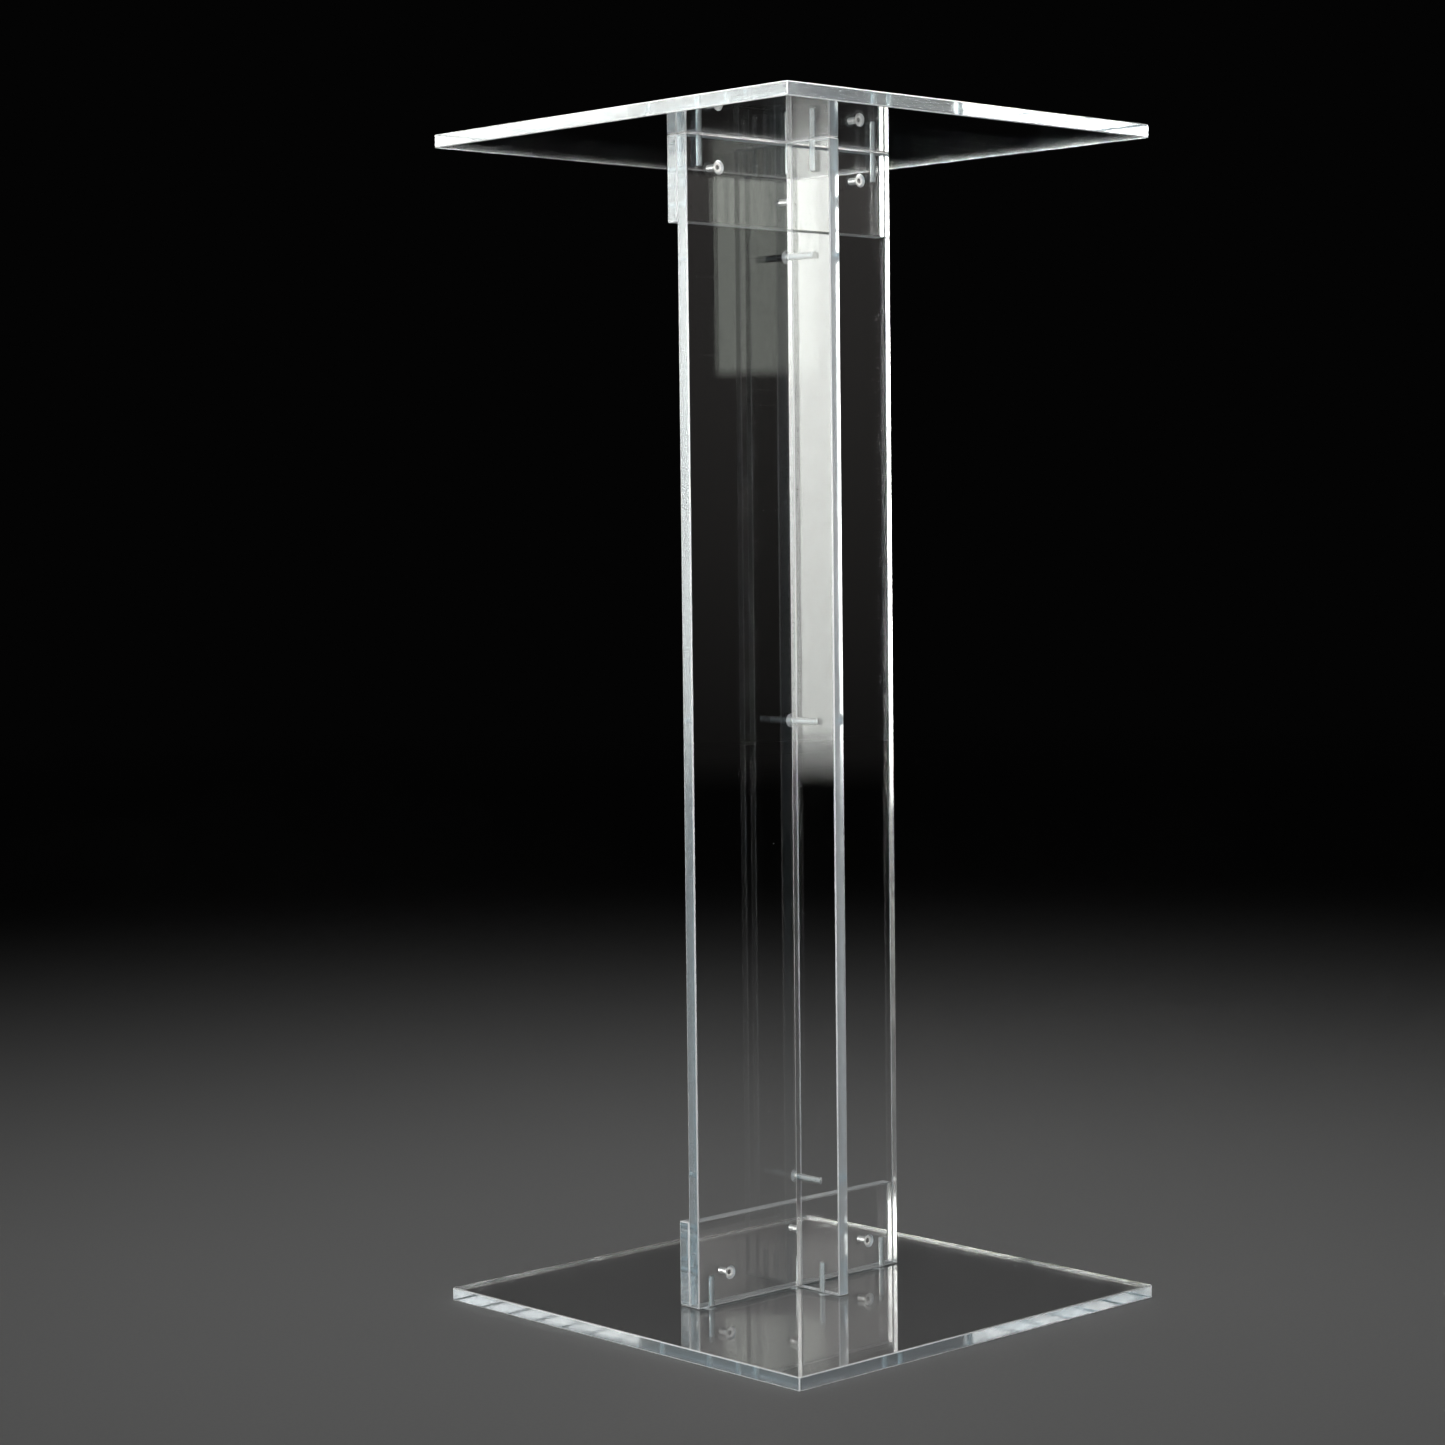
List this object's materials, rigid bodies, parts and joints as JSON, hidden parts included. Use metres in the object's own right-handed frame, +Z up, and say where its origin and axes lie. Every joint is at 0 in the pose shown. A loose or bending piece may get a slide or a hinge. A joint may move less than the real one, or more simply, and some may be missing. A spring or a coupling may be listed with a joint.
{
  "type": "lectern stand",
  "caption": "Clear acrylic lectern stand: a square base plate and a level square top plate joined by a T-shaped column of two upright panels, with cleats and countersunk screws.",
  "frame": {"origin": "middle of the base plate's underside, on the floor; the flange panel's front face and the web panel's middle plane meet on the vertical through it", "axes": "+Z up; +X along the flange panel's width; -Y is the side on which the web panel stands, +Y the side of the cleats"},
  "size_m": [0.45, 0.45, 1.055],
  "materials": {
    "clear_acrylic": "polished",
    "stainless_steel": "satin"
  },
  "bodies": {
    "root": {"base_plate": "clear_acrylic", "top_plate": "clear_acrylic", "flange_panel": "clear_acrylic", "web_panel": "clear_acrylic", "lower_cleat": "clear_acrylic", "upper_cleat": "clear_acrylic", "lower_cleat_screw_left": "stainless_steel", "lower_cleat_screw_middle": "stainless_steel", "lower_cleat_screw_right": "stainless_steel", "upper_cleat_screw_left": "stainless_steel", "upper_cleat_screw_middle": "stainless_steel", "upper_cleat_screw_right": "stainless_steel", "web_screw_lower": "stainless_steel", "web_screw_centre": "stainless_steel", "web_screw_upper": "stainless_steel", "base_screw_left": "stainless_steel", "base_screw_middle": "stainless_steel", "base_screw_right": "stainless_steel", "base_screw_web": "stainless_steel", "top_screw_left": "stainless_steel", "top_screw_middle": "stainless_steel", "top_screw_right": "stainless_steel", "top_screw_web": "stainless_steel"}
  },
  "joints": []
}
